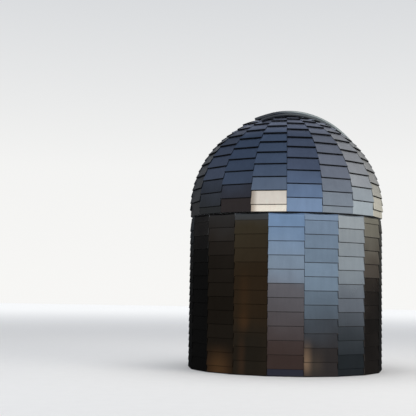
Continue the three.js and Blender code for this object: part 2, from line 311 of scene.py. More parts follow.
UNDER_DIVIDE = facing_stops([
    (-180, (0.12, 0.13, 0.15)), (-100, (0.05, 0.055, 0.06)), (-80, (0.012, 0.012, 0.012)),
    (-60, (0.048, 0.046, 0.046)), (-40, (0.024, 0.020, 0.017)), (-20, (0.046, 0.036, 0.021)),
    (-8, (0.15, 0.145, 0.16)), (8, (0.15, 0.145, 0.16)), (20, (0.14, 0.185, 0.235)),
    (40, (0.15, 0.17, 0.20)), (60, (0.165, 0.148, 0.130)), (80, (0.030, 0.030, 0.028)),
    (105, (0.09, 0.10, 0.11)), (180, (0.12, 0.13, 0.15)),
])
LOWER = facing_stops([
    (-180, (0.05, 0.055, 0.065)), (-100, (0.02, 0.022, 0.026)), (-80, (0.008, 0.008, 0.008)),
    (-60, (0.0082, 0.0079, 0.0076)), (-40, (0.013, 0.0105, 0.0080)), (-20, (0.030, 0.0195, 0.0108)),
    (-8, (0.052, 0.035, 0.031)), (8, (0.052, 0.035, 0.031)), (20, (0.034, 0.030, 0.030)),
    (40, (0.023, 0.028, 0.032)), (60, (0.052, 0.047, 0.044)), (80, (0.014, 0.014, 0.014)),
    (110, (0.025, 0.027, 0.030)), (180, (0.05, 0.055, 0.065)),
])

# Painted reflections low in the sheets, warm gleams after one darker stretch: the side, the middle and half
# width in degrees right of the front, lower and upper height, strength, colour. Each fades in and out over
# these heights.
GLEAM_RISE = 0.5
GLEAM_FADE = 0.8
GLEAMS = (
    (-20, -20.0, 40.0, -0.6, 1.65, 1.0, (0.018, 0.0145, 0.0105)),
    (-20, -23.7, 5.0, 0.95, 2.9, 0.20, (0.085, 0.040, 0.016)),
    (-20, -24.0, 5.0, 0.95, 1.75, 0.55, (0.085, 0.040, 0.016)),
    (-20, -25.0, 3.6, -0.3, 1.25, 0.28, (0.085, 0.042, 0.022)),
    (-40, -41.0, 15.0, -0.6, 0.85, 0.90, (0.085, 0.045, 0.021)),
    (20, 11.5, 4.5, -0.10, 1.05, 0.72, (0.29, 0.19, 0.12)),
    (20, 17.0, 7.0, -0.10, 0.9, 0.35, (0.12, 0.09, 0.06)),
)


def drum_colour(made):
    """Painted reflection: light tones over the divide of the side's direction and dark ones under it, with
    painted warm reflections low on the sides at the front. On the strip along the foot of the front side a
    dark blue reflection is painted."""
    point, (x, y, height) = made.place()
    facing = made.mark("facing")
    divide = made.first_channel(made.ramp(facing, DIVIDE)) * DIVIDE_SCALE
    waver = (made.noise(point, 0.9, 2.0) - 0.5) * 0.5 + (made.mark("tone") - 0.5) * 0.35
    over = height * 0.5 + made.mark("level") * 0.5 - divide + waver
    # Painted reflection: light tones over the divide, dark ones under it
    light = made.blend(made.between(over, 1.7, 0.2), made.ramp(facing, UPPER), made.ramp(facing, OVER_DIVIDE))
    dark = made.blend(
        made.between(over, -1.7, -0.05), made.ramp(facing, LOWER), made.ramp(facing, UNDER_DIVIDE))
    colour = made.blend(made.between(over, -0.32, 0.30), dark, light)
    around = x.turn_from(0.0 - y) * math.degrees(1.0)
    side_turn = facing * 360.0 - 180.0
    # Painted reflections: the darker stretch and the warm gleams
    for side, middle, half, bottom, top, strength, warm in GLEAMS:
        on_side = made.between(side_turn, side - 5, side - 1) * made.between(side_turn, side + 5, side + 1)
        wide = made.between(around, middle - half, middle) * made.between(around, middle + half, middle)
        tall = made.between(height, bottom, bottom + GLEAM_RISE) * made.between(height, top, top - GLEAM_FADE)
        colour = made.blend(on_side * wide * tall * strength, colour, warm)
    front = made.between(x, -1.0, -0.5) * made.between(x, 1.0, 0.5)
    # Painted reflection: dark blue on the strip along the foot of the front side
    return made.blend(made.mark("apart") * front * 0.85, colour, (0.027, 0.031, 0.048))


# Painted reflection: colours standing in for what the dome's sheets mirror, close to the seam and higher up
DOME_LOW = facing_stops([
    (-180, (0.14, 0.17, 0.21)), (-90, (0.020, 0.022, 0.026)), (-70, (0.018, 0.019, 0.022)),
    (-50, (0.030, 0.032, 0.034)), (-30, (0.034, 0.028, 0.028)), (-18, (0.08, 0.085, 0.100)),
    (-10, (0.25, 0.31, 0.40)), (10, (0.225, 0.32, 0.485)), (30, (0.26, 0.30, 0.345)),
    (50, (0.44, 0.50, 0.54)), (72, (0.90, 0.85, 0.70)), (110, (0.26, 0.28, 0.29)),
    (180, (0.14, 0.17, 0.21)),
])
DOME_HIGH = facing_stops([
    (-180, (0.10, 0.13, 0.18)), (-90, (0.030, 0.036, 0.050)), (-70, (0.036, 0.044, 0.058)),
    (-50, (0.100, 0.122, 0.175)), (-30, (0.085, 0.116, 0.176)), (-10, (0.104, 0.142, 0.212)),
    (10, (0.127, 0.157, 0.226)), (30, (0.275, 0.295, 0.345)), (50, (0.56, 0.56, 0.56)),
    (70, (0.60, 0.59, 0.56)), (120, (0.18, 0.20, 0.22)), (180, (0.10, 0.13, 0.18)),
])


def dome_colour(made):
    """Painted reflection: slate blue high on the dome, a paler painted reflection round its crest, and
    lighter or darker towards the seam by the direction that the gore faces. Two plates are cream, with a
    browner painted reflection at one end."""
    point, (x, _, height) = made.place()
    facing = made.mark("facing")
    waver = (made.noise(point, 1.1, 2.0) - 0.5) * 0.35 + (made.mark("tone") - 0.5) * 0.25
    level = height * 0.3 + made.mark("level") * 0.7
    up = made.between(level + waver, DOME_BOTTOM + 0.15, DOME_BOTTOM + 1.25)
    colour = made.blend(up, made.ramp(facing, DOME_LOW), made.ramp(facing, DOME_HIGH))
    # Painted reflection: paler round the crest
    colour = made.blend(made.between(height, 6.05, 6.62) * 0.75, colour, (0.46, 0.50, 0.62))
    # The cream plates' browner end is a painted reflection
    cream = made.blend(made.between(x, -0.70, -0.88), (0.98, 0.885, 0.765), (0.50, 0.42, 0.34))
    return made.blend(made.mark("apart"), colour, cream)


def shutter_colour(made):
    """Greenish grey sheet with a painted reflection going over to dark slate towards its upper end, and
    painted shade in dark slate on the plates that close it.
    """
    _, (x, y, _) = made.place()
    along = x * math.cos(SLIT_ANGLE) + y * math.sin(SLIT_ANGLE)
    # Painted reflection: dark slate towards the upper end, greenish grey further along
    colour = made.blend(made.between(along, -0.70, 0.05), (0.085, 0.094, 0.110), (0.42, 0.465, 0.455))
    # Painted shade: dark slate where the apart mark is set, on the shutter's end plates and the curb flashing
    return made.blend(made.mark("apart"), colour, (0.066, 0.073, 0.084))


def zinc_steel(name, colour, roughness):
    """Hot dipped steel: mottled spangle with duller patches."""
    made = Finish(name, 0.85, roughness)
    point, _ = made.place()
    cells = made.node("ShaderNodeTexVoronoi", {}, {"Vector": point, "Scale": 55.0})
    spangle = made.first_channel(cells.outputs["Color"])
    clouds = made.noise(point, 6.0, 4.0, 0.6)
    made.out("Base Color", made.lit(colour, 0.72 + spangle * 0.22 + clouds * 0.36))
    made.out("Roughness", roughness + (clouds - 0.5) * 0.25)
    made.bump(clouds, 0.002, 0.4)
    return made.material


def boards(name, colour, dark, upright, width):
    """Boards with grain: a dark joint every board width and long streaks of grain. They stand upright round
    the drum, or else lie along y."""
    made = Finish(name, 0.0, 0.75)
    point, (x, y, _) = made.place()
    if upright:
        run = y.turn_from(x) * 2.5
        grain = made.noise(made.stretch(point, (14.0, 14.0, 0.9)), 3.0, 5.0, 0.65)
    else:
        run = x
        grain = made.noise(made.stretch(point, (14.0, 0.9, 1.0)), 3.0, 5.0, 0.65)
    count = run / width + 40.0
    share = count.fraction()
    joint = 1.0 - made.between(share, 0.0, 0.05) * made.between(share, 1.0, 0.95)
    board = Term(made, made.node("ShaderNodeTexWhiteNoise", {"noise_dimensions": "1D"}, {
        "W": count - share}).outputs[0])
    wood = made.lit(made.blend(grain, dark, colour), 0.80 + board * 0.35)
    made.out("Base Color", made.blend(joint, wood, (0.03, 0.024, 0.018)))
    made.out("Roughness", 0.62 + grain * 0.25)
    made.bump(grain * 0.3 - joint, 0.003, 0.6)
    return made.material


def dark_rubber(name):
    """Matt black sealing strip with a little dust."""
    made = Finish(name, 0.0, 0.85)
    point, _ = made.place()
    dust = made.noise(point, 18.0, 4.0, 0.6)
    made.out("Base Color", made.blend(dust, (0.008, 0.008, 0.009), (0.035, 0.033, 0.030)))
    made.bump(dust, 0.001, 0.5)
    return made.material


# Painted shade under the laps and on the turned-in edges: near black on the dome and shutter, softer on the
# drum
DARK_FOLD_SHADE = (0.012, 0.012, 0.013)
SOFT_FOLD_SHADE = (0.050, 0.047, 0.045)
DRUM_SHEET = sheet_steel("drum sheet", drum_colour, 0.30, 0.20, SOFT_FOLD_SHADE, 0.06)
DULL_SHEET = sheet_steel("dull drum sheet", drum_colour, 0.45, 0.20, SOFT_FOLD_SHADE, 0.0, 0.05, 0.0)
DOME_SHEET = sheet_steel("dome sheet", dome_colour, 0.32, 0.15, DARK_FOLD_SHADE, 0.42)
SHUTTER_SHEET = sheet_steel("shutter sheet", shutter_colour, 0.30, 0.10, DARK_FOLD_SHADE, 0.42)
INNER_SHEET = zinc_steel("inner sheet", (0.30, 0.32, 0.34), 0.45)
ZINC_STEEL = zinc_steel("zinc steel", (0.22, 0.235, 0.25), 0.5)
WALL_BOARDS = boards("wall boards", (0.42, 0.30, 0.18), (0.20, 0.13, 0.075), True, 0.145)
DECK_BOARDS = boards("deck boards", (0.30, 0.25, 0.18), (0.13, 0.10, 0.07), False, 0.14)
SEAL = dark_rubber("seal")


# Directions of the sides
def azimuth_of(place):
    """Direction from the axis in radians of a side, or of a gore, which stands half a side further on."""
    return math.radians(SIDE_TURN * place - 90.0)


def from_front(place):
    """The same direction as degrees right of the front, between -180 and 180."""
    return (SIDE_TURN * place + 180.0) % 360.0 - 180.0


# Meshes from grids of points
def grid_faces(count, rows, columns):
    """Four-cornered faces of `count` grids kept one after another, counted anticlockwise from outside when
    rows run down and columns run right."""
    start = np.arange(count)[:, None, None] * rows * columns
    corner = start + np.arange(rows - 1)[None, :, None] * columns + np.arange(columns - 1)[None, None, :]
    return np.stack([corner, corner + columns, corner + columns + 1, corner + 1], axis=-1).reshape(-1, 4)


def trim_marks(shape, tone, edge=0.0, apart=0.0):
    """Numbers for the sheet finish of one piece, each the same all over or given point by point."""
    marks = {"tone": tone, "edge": edge, "apart": apart}
    return {name: np.broadcast_to(values, shape) for name, values in marks.items()}


def close_seams(piece):
    """Joins the points where a piece's grids meet and turns its faces outwards."""
    shape = bmesh.new()
    shape.from_mesh(piece.data)
    bmesh.ops.remove_doubles(shape, verts=shape.verts[:], dist=5e-5)
    bmesh.ops.recalc_face_normals(shape, faces=shape.faces[:])
    shape.to_mesh(piece.data)
    shape.free()


def add_piece(name, points, faces, material, body, marks=None, thickness=0.0, smooth=True):
    """A mesh piece from arrays, with numbers kept per point, that rides on a body."""
    mesh = bpy.data.meshes.new(name)
    mesh.from_pydata(np.asarray(points).reshape(-1, 3).tolist(), [], np.asarray(faces).tolist())
    for key, values in (marks or {}).items():
        kept = mesh.attributes.new(key, "FLOAT", "POINT")
        kept.data.foreach_set("value", np.asarray(values, dtype=np.float32).ravel())
    mesh.polygons.foreach_set("use_smooth", np.full(len(mesh.polygons), smooth))
    mesh.materials.append(material)
    mesh.update()
    piece = bpy.data.objects.new(name, mesh)
    bpy.context.scene.collection.objects.link(piece)
    if thickness:
        solid = piece.modifiers.new("Sheet", "SOLIDIFY")
        solid.thickness = thickness
        solid.offset = -1.0
    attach(piece, body)
    return piece


# Folded plates: across them each column's share of the half width, how far it is set in from the side edge
# and how far it drops to round that edge, and up them the share of the length of each row over the fold
COLUMN_SIDE = np.concatenate([[-1.0] * 4, np.linspace(-0.9, 0.9, 9), [1.0] * 4])
COLUMN_INSET = np.concatenate([[-PLATE_GAP, 0.0, 0.005, 0.014], np.zeros(9), [0.014, 0.005, 0.0, -PLATE_GAP]])
COLUMN_DROP = np.concatenate([[0.0, 0.004, 0.0, 0.0], np.zeros(9), [0.0, 0.0, 0.004, 0.0]])
PANEL_ROWS = np.array([0.97, 0.86, 0.74, 0.62, 0.5, 0.38, 0.26, 0.14])


def folded_plates(low, high, lift_low, lift_high, azimuth, random):
    """Plates of one side as points [plate, row, column, xyz].
    low and high are each plate's lower and upper edge as (distance from the axis, height) in the side's
    middle. A point is low + u d + n (lift - drop + dent), where u runs up the plate and n out of it. The lift
    grows evenly from the upper to the lower edge. The drop rounds the side edges, which are then folded back
    to meet the next side's on the ridge. The dent is a soft wave that dies away at the edges. Across the side
    the point lies at its share of distance times tan 10 degrees."""
    count = len(low)
    run = high - low
    length = np.linalg.norm(run, axis=1)
    up = run / length[:, None]
    out = np.stack([up[:, 1], -up[:, 0]], axis=1)

    along = length[:, None] * np.concatenate([[1.0], PANEL_ROWS, np.zeros(4)])
    along[:, 0] += TUCK

    # The last rows go over the fold and back under the plate
    along[:, -4] = np.minimum(2.5 * FOLD, 0.11 * length)
    along[:, -3] = FOLD
    lift = lift_low[:, None] + (lift_high - lift_low)[:, None] * np.minimum(along / length[:, None], 1.0)
    lift[:, -2] -= FOLD * 0.7
    along[:, -2] = 0.001
    lift[:, -1] = np.minimum(lift_high + 0.002, lift[:, -3] - 0.008)
    along[:, -1] = 0.0

    phase = random.uniform(0, 2 * np.pi, (count, 4, 1, 1))
    size = random.uniform(0.4, 1.0, (count, 1, 1))
    u = COLUMN_SIDE
    v = np.clip(along / length[:, None], 0, 1)[:, :, None]
    wave = np.sin(2.6 * u + phase[:, 0]) * np.sin(3.0 * v + phase[:, 1])
    wave = wave + 0.5 * np.sin(5.5 * u + phase[:, 2]) * np.cos(4.0 * v + phase[:, 3])
    dent = DENT * size * wave * (1 - u ** 4) * np.sin(np.pi * np.clip(v, 0.0, 1.0)) ** 0.5

    rise = lift[:, :, None] - COLUMN_DROP + dent
    rise[:, :, [0, -1]] = -0.001
    flat = low[:, None, None, :] + up[:, None, None, :] * along[:, :, None, None]
    flat = flat + out[:, None, None, :] * rise[:, :, :, None]
    distance = flat[..., 0]
    half = distance * math.tan(HALF_SIDE) - PLATE_GAP
    across = COLUMN_SIDE * half - np.sign(COLUMN_SIDE) * COLUMN_INSET
    x = distance * math.cos(azimuth) - across * math.sin(azimuth)
    y = distance * math.sin(azimuth) + across * math.cos(azimuth)
    return np.stack([x, y, flat[..., 1]], axis=-1)


def plate_marks(points, place, random, apart, fold):
    """Numbers for the finish: a random tone per plate, 1 on the turned-in edges and a share of it on the
    fold, which mark where shade is painted, 1 on the plates that are set apart, the side's direction and
    the height of the plate's middle."""
    shape = points.shape[:3]
    edge = np.zeros(shape)
    edge[:, -3, :] = fold
    edge[:, -2:, :] = 1.0
    edge[:, :, [0, -1]] = 1.0
    marks = trim_marks(shape, random.uniform(0, 1, (shape[0], 1, 1)), edge, apart[:, None, None])
    marks["facing"] = np.full(shape, (from_front(place) + 180.0) / 360.0)
    marks["level"] = np.broadcast_to(points[..., 2].mean(axis=(1, 2))[:, None, None], shape)
    return marks


def add_drum_plates():
    """Each side's courses hang from its top edge, every second side half a course lower. The top plate has
    nothing to tuck under, and the low strips at top and foot stand out less. Two sides at right angles to
    the front are dull, hardly metallic sheet, so that they show no glancing mirror light and stay dark."""
    for side in range(SIDES):
        random = np.random.default_rng(DRUM_SEED + side)
        first = 1.0 if side % 2 == 0 else 0.5
        edges = DRUM_PLATE_TOP - DRUM_COURSE * np.arange(first, MOST_COURSES)
        edges = np.concatenate([[DRUM_PLATE_TOP], edges[edges > DRUM_FOOT + LEAST_PLATE], [DRUM_FOOT]])
        count = len(edges) - 1
        high = np.stack([np.full(count, DRUM_APOTHEM), edges[:-1]], axis=1)
        low = np.stack([np.full(count, DRUM_APOTHEM), edges[1:]], axis=1)
        high[0, 1] -= TUCK
        lift_low = np.where(high[:, 1] - low[:, 1] > 0.5 * DRUM_COURSE, DRUM_LIFT[0], 0.6 * DRUM_LIFT[0])
        lift_high = np.full(count, DRUM_LIFT[1])
        points = folded_plates(low, high, lift_low, lift_high, azimuth_of(side), random)
        foot_strip = (edges[:-1] < 0.6 * DRUM_COURSE).astype(float)
        marks = plate_marks(points, side, random, foot_strip, DRUM_FOLD_SHADE)
        # The dull sides mirror no glancing light, so that they stay dark
        finish = DULL_SHEET if side in DULL_SIDES else DRUM_SHEET
        add_piece(f"drum_plates_{side + 1:02d}", points, grid_faces(*points.shape[:3]), finish, "drum",
                  marks, SHEET)


def dome_profile(run):
    """Middle of a gore as (distance from the axis, height) at a run along it: straight up from the seam, then
    over in a circle."""
    angle = np.maximum(run - DOME_STRAIGHT, 0.0) / DOME_RADIUS
    distance = DOME_RADIUS * np.cos(angle) * math.cos(HALF_SIDE)
    height = np.where(run < DOME_STRAIGHT, DOME_BOTTOM + run, DOME_CENTRE + DOME_RADIUS * np.sin(angle))
    return np.stack([distance, height], axis=-1)


def cut_for_frame(piece, frame_half):
    """Cuts a piece just outside the frame round the slit and takes away what lies inside it."""
    half = frame_half + FRAME_CLEARANCE
    shape = bmesh.new()
    shape.from_mesh(piece.data)
    along = Vector((math.cos(SLIT_ANGLE), math.sin(SLIT_ANGLE), 0.0))
    across = Vector((-along.y, along.x, 0.0))
    past = -FRAME_PAST_TOP - FRAME_CLEARANCE
    for point, normal in ((across * half, across), (across * -half, across), (along * past, along)):
        everything = shape.verts[:] + shape.edges[:] + shape.faces[:]
        bmesh.ops.bisect_plane(shape, geom=everything, plane_co=point, plane_no=normal, dist=1e-6)
    inside = []
    for face in shape.faces:
        middle = face.calc_center_median()
        if abs(middle.dot(across)) < half and middle.dot(along) > past:
            inside.append(face)
    bmesh.ops.delete(shape, geom=inside, context="FACES")
    shape.to_mesh(piece.data)
    shape.free()


def add_gore_plates():
    """Courses of flat plates from the seam up, every second gore starting with half a course. The lowest two
    plates of the last gore are cream."""
    for gore in range(SIDES):
        random = np.random.default_rng(DOME_SEED + gore)
        first = 1.0 if gore % 2 == 0 else 0.5
        runs = np.concatenate([[0.0], DOME_COURSE * np.arange(first, MOST_COURSES)])
        runs = runs[runs < DOME_STRAIGHT + math.radians(DOME_PLATES_END) * DOME_RADIUS]
        edges = dome_profile(runs)
        count = len(edges) - 1
        lift_low = np.full(count, DOME_LIFT[0])
        lift_low[0] = SEAM_LIFT
        lift_high = np.full(count, DOME_LIFT[1])
        cream_plates = np.zeros(count)
        if gore == SIDES - 1:
            cream_plates[:2] = 1.0
        place = gore + 0.5
        points = folded_plates(edges[:-1], edges[1:], lift_low, lift_high, azimuth_of(place), random)
        marks = plate_marks(points, place, random, cream_plates, DOME_FOLD_SHADE)
        piece = add_piece(f"gore_plates_{gore + 1:02d}", points, grid_faces(*points.shape[:3]), DOME_SHEET,
                          "dome", marks, SHEET)
        cut_for_frame(piece, FLASHING_HALF_WIDTH)


# Arched pieces about the slit
def slit_place(along, across, up):
    """From the slit's own plane to the shared frame: along lies 30 degrees round from x, up counts from the
    dome's centre."""
    x = along * math.cos(SLIT_ANGLE) - across * math.sin(SLIT_ANGLE)
    y = along * math.sin(SLIT_ANGLE) + across * math.cos(SLIT_ANGLE)
    return np.stack(np.broadcast_arrays(x, y, up + DOME_CENTRE), axis=-1)


def mirrored(section):
    """The other half of a section of (radius, across)."""
    return section[::-1] * np.array([1.0, -1.0])


def add_shutter_cover():
    """Sheet over the shutter: skirt, rounded shoulder, cambered crown, shoulder and skirt as points of
    (radius, across), carried round the arch. The crown stands up by camber (1 - (across / half)^2). Over each
    lap's length all but the skirts sinks evenly towards the dome's centre by the lap's fall."""
    corner = np.radians(np.linspace(0, 90, 7))
    half = SHUTTER_HALF_WIDTH - SHUTTER_SHOULDER
    spring = SHUTTER_RADIUS - SHUTTER_SHOULDER
    lip = np.array([[SHUTTER_SKIRT_RADIUS, SHUTTER_HALF_WIDTH - 0.010],
                    [SHUTTER_SKIRT_RADIUS, SHUTTER_HALF_WIDTH]])
    shoulder = np.stack([spring + SHUTTER_SHOULDER * np.sin(corner),
                         half + SHUTTER_SHOULDER * np.cos(corner)], axis=1)
    flat = np.linspace(half, -half, 19)[1:-1]
    crown = np.stack([SHUTTER_RADIUS + SHUTTER_CAMBER * (1 - (flat / half) ** 2), flat], axis=1)
    section = np.concatenate([lip, shoulder, crown, mirrored(shoulder), mirrored(lip)])
    degrees = np.linspace(SHUTTER_START, SHUTTER_END, 111)
    lap = (SHUTTER_END - SHUTTER_START) / SHUTTER_LAPS
    run = degrees - SHUTTER_START
    fall = SHUTTER_LAP_FALL * (run % lap) / lap
    shrink = 1 - fall[:, None] * (section[:, 0] > spring) / SHUTTER_RADIUS
    angle = np.radians(degrees)[:, None]
    radius = section[:, 0] * shrink
    points = slit_place(radius * np.cos(angle), section[:, 1] * shrink, radius * np.sin(angle))
    marks = trim_marks(points.shape[:2], (np.floor(run / lap) * 0.37 % 1.0)[:, None])
    cover = add_piece("shutter_cover", points, grid_faces(1, *points.shape[:2]), SHUTTER_SHEET, "shutter",
                      marks, COVER_SHEET)
    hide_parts("shutter_skin")


def end_strip(profile, degrees, turn):
    """A strip across the shutter's end: points of (radius, reach out of the end), carried straight across."""
    radius, reach = profile.T
    angle = math.radians(degrees) + turn * reach / SHUTTER_RADIUS
    half = SHUTTER_HALF_WIDTH - 0.003
    across = np.linspace(-half, half, 25)
    camber = SHUTTER_CAMBER * (1 - (across / half) ** 2) * (radius > CAMBERED_FROM)[:, None]
    length = radius[:, None] + camber
    points = slit_place(length * np.cos(angle)[:, None], across, length * np.sin(angle)[:, None])
    faces = grid_faces(1, *points.shape[:2])
    if turn < 0:
        faces = faces[:, ::-1]
    return points, faces


def add_shutter_ends():
    """Sheet closing both ends of the shutter, its lower edge turned out as a drip, and behind it a dark soft
    strip that stays just clear of the plates it passes over."""
    plate = np.array([[2.7125, -0.002], [2.7135, 0.003], [2.711, 0.0045], [2.664, 0.0045], [2.660, 0.006],
                      [2.659, 0.013], [2.660, 0.0145]])
    ends = (("upper", SHUTTER_END, 1.0, UPPER_SEAL_RADIUS), ("lower", SHUTTER_START, -1.0, LOWER_SEAL_RADIUS))
    for name, degrees, turn, inner in ends:
        points, faces = end_strip(plate, degrees, turn)
        # Painted shade: the end plates take the dark slate in full
        marks = trim_marks(points.shape[:2], 0.5, 0.0, 1.0)
        add_piece(f"shutter_{name}_end", points, faces, SHUTTER_SHEET, "shutter", marks,
                  TRIM_SHEET)
        strip = np.array([[2.690, 0.0005], [inner, 0.0005], [inner, 0.003], [2.690, 0.003]])
        points, faces = end_strip(strip, degrees, turn)
        add_piece(f"shutter_{name}_seal", points, faces[:, ::-1], SEAL, "shutter")


def gore_radius(degrees, across):
    """Distance from the dome's centre at which a ray in the slit's upright plane, moved across, meets the
    gores: r cos a cos d + across sin d = cos 10 sqrt(R^2 - r^2 sin^2 a), with d the side's direction off the
    slit. It is found by taking a share of what the two sides differ by off r, again and again."""
    angle = np.radians(degrees)
    radius = np.full(len(angle), DOME_RADIUS)
    for _ in range(CORRECTIONS):
        along = radius * np.cos(angle)
        direction = np.degrees(np.arctan2(across, along))
        side = np.radians((np.floor(direction / SIDE_TURN) + 0.5) * SIDE_TURN)
        level = np.sqrt(np.maximum(DOME_RADIUS ** 2 - (radius * np.sin(angle)) ** 2, 0.01))
        miss = along * np.cos(side) + across * np.sin(side) - math.cos(HALF_SIDE) * level
        radius = radius - CORRECTION_SHARE * miss
    return radius


def add_curb_flashing():
    """Folded sheet over each curb's outer corner: a narrow ledge just under the shutter's skirt, and an
    upstand from it down behind the ends of the plates, with painted shade where it meets them. It is carried
    straight up from the seam, round the arch and past the slit's head, where it stands on the plates by
    itself, closed on both faces. Past the shutter's end it runs on as a low rail, painted black inside as
    shade. Its dark slate, darker towards the foot and on the rail, is painted shade."""
    upright = np.linspace(0.006 - DOME_STRAIGHT, -0.02, 6)
    degrees = np.concatenate([np.linspace(0.0, HEAD_ANGLE, 104),
                              np.linspace(HEAD_ANGLE + 0.05, FLASHING_END, 5),
                              np.linspace(FLASHING_END + 0.1, RAIL_END, 16), [RAIL_END + 0.02]])
    turns = np.concatenate([np.zeros(len(upright)), degrees])
    foot = gore_radius(turns, FLASHING_HALF_WIDTH) - FLASHING_SINK
    top = FLASHING_TOP
    inner = FRAME_HALF_WIDTH
    outer = FLASHING_HALF_WIDTH
    section = np.array([[top - 0.014, inner + 0.0006], [top - 0.002, inner + 0.0010], [top, inner + 0.004],
                        [top, outer - 0.004], [top - 0.0012, outer - 0.0012], [top - 0.004, outer],
                        [top - 0.018, outer], [0.0, outer]])
    radius = np.tile(section[:, 0], (len(turns), 1))
    radius[:, -1] = foot
    past_head = turns > HEAD_ANGLE
    radius[past_head, 0] = gore_radius(turns[past_head], inner) - FLASHING_SINK
    radius[-1] = foot[-1]
    angle = np.radians(turns)[:, None]
    lower = np.concatenate([upright, np.zeros(len(degrees))])[:, None]
    rail = turns > FLASHING_END
    # Painted shade: near black at the foot against the plates and inside the rail
    painted_seam_shade = np.zeros(radius.shape)
    painted_seam_shade[:, -1] = 0.9
    painted_seam_shade[rail, :2] = 0.95
    # Painted shade: share of dark slate, more towards the foot and on the rail
    darker = np.full(radius.shape, 0.35)
    darker[:, -2:] = (0.85, 1.0)
    darker[rail] = 1.0
    marks = trim_marks(radius.shape, 0.4, painted_seam_shade, darker)
    faces = grid_faces(1, *radius.shape)
    for name, side, outward in (("right", 1.0, faces[:, ::-1]), ("left", -1.0, faces)):
        points = slit_place(radius * np.cos(angle), section[:, 1] * side, radius * np.sin(angle) + lower)
        add_piece(f"curb_flashing_{name}", points, outward, SHUTTER_SHEET, "dome", marks,
                  TRIM_SHEET)


def add_head_flashing():
    """Folded sheet across the dome past the slit's head, between the ends of the curbs' flashing: an upstand
    on both faces down to the gores, and a narrow ledge just under the shutter's end."""
    across = np.linspace(-FLASHING_HALF_WIDTH, FLASHING_HALF_WIDTH, 81)
    inner = FLASHING_END - 0.6
    edges = ((inner, None), (inner, FLASHING_TOP - 0.003), (inner + 0.06, FLASHING_TOP),
             (FLASHING_END - 0.06, FLASHING_TOP), (FLASHING_END, FLASHING_TOP - 0.003),
             (FLASHING_END, FLASHING_TOP - 0.018), (FLASHING_END, None))
    rows = []
    for degrees, reach in edges:
        foot = gore_radius(np.full(len(across), degrees), across) - FLASHING_SINK
        radius = foot if reach is None else reach
        angle = math.radians(degrees)
        rows.append(slit_place(radius * math.cos(angle), across, radius * math.sin(angle)))
    points = np.stack(rows)
    # Painted shade: near black on the foot rows against the gores
    painted_seam_shade = np.zeros(points.shape[:2])
    painted_seam_shade[[0, -1]] = 0.9
    add_piece("head_flashing", points, grid_faces(1, *points.shape[:2]), SHUTTER_SHEET, "dome",
              trim_marks(points.shape[:2], 0.4, painted_seam_shade), TRIM_SHEET)


# Round and straight trim
def add_round_seal(name, profile, count, body):
    """Sealing strip: a closed profile of (distance, height) turned about the upright axis in even steps."""
    angle = np.linspace(0, 2 * np.pi, count + 1)
    x = profile[:, :1] * np.cos(angle)
    y = profile[:, :1] * np.sin(angle)
    points = np.stack(np.broadcast_arrays(x, y, profile[:, 1:]), axis=-1)
    close_seams(add_piece(name, points, grid_faces(1, *points.shape[:2]), SEAL, body))


def add_seam_brush():
    """Round sealing brush under the dome's ring, which hangs inside the drum's weather lip."""
    top = DOME_BOTTOM
    profile = np.array([[2.505, top], [2.505, top - 0.062], [2.497, top - 0.067], [2.489, top - 0.062],
                        [2.489, top], [2.505, top]])
    add_round_seal("seam_brush", profile, 144, "dome")


def add_foot_seal():
    """Dark sealing strip round the drum's foot, under the lowest plates."""
    profile = np.array([[2.586, 0.0], [2.604, 0.0], [2.606, 0.004], [2.600, DRUM_FOOT], [2.586, DRUM_FOOT],
                        [2.586, 0.0]])
    add_round_seal("foot_seal", profile, SIDES, "drum")


def swept(path, radius, sides):
    """Round bar along a path of points: at each point a circle lies across the path's direction, and the
    ends close over a smaller circle to a point."""
    ahead = np.gradient(path, axis=0)
    ahead = ahead / np.linalg.norm(ahead, axis=1)[:, None]
    first = np.cross(ahead, np.array([0.36, 0.48, 0.80]))
    first = first / np.linalg.norm(first, axis=1)[:, None]
    second = np.cross(ahead, first)
    path, first, second = (np.pad(rows, ((2, 2), (0, 0)), "edge") for rows in (path, first, second))
    size = np.full(len(path), radius)
    size[[0, -1]] = 1e-5
    size[[1, -2]] = radius * 0.8
    angle = np.linspace(0, 2 * np.pi, sides + 1)[None, :, None]
    ring = first[:, None, :] * np.cos(angle) + second[:, None, :] * np.sin(angle)
    return path[:, None, :] + ring * size[:, None, None]


def door_place(across, out, height):
    """From the door's side to the shared frame: across it to the right seen from outside, out from its face,
    height."""
    azimuth = azimuth_of(DOOR_SIDE)
    distance = DRUM_APOTHEM + out
    x = distance * math.cos(azimuth) - across * math.sin(azimuth)
    y = distance * math.sin(azimuth) + across * math.cos(azimuth)
    return np.stack(np.broadcast_arrays(x, y, height), axis=-1)


def add_bar(name, path, radius, sides=16):
    """One round bar of the door along a path."""
    points = swept(path, radius, sides)
    close_seams(add_piece(name, points, grid_faces(1, *points.shape[:2]), ZINC_STEEL, "drum"))


def add_door_rail(name, section, base):
    """Straight folded rail across the door's side: a closed section of (out from the wall, over the base)."""
    across = np.linspace(-DOOR_HALF, DOOR_HALF, 13)
    points = door_place(across, section[:, :1], base + section[:, 1:])
    close_seams(add_piece(name, points, grid_faces(1, *points.shape[:2]), ZINC_STEEL, "drum"))


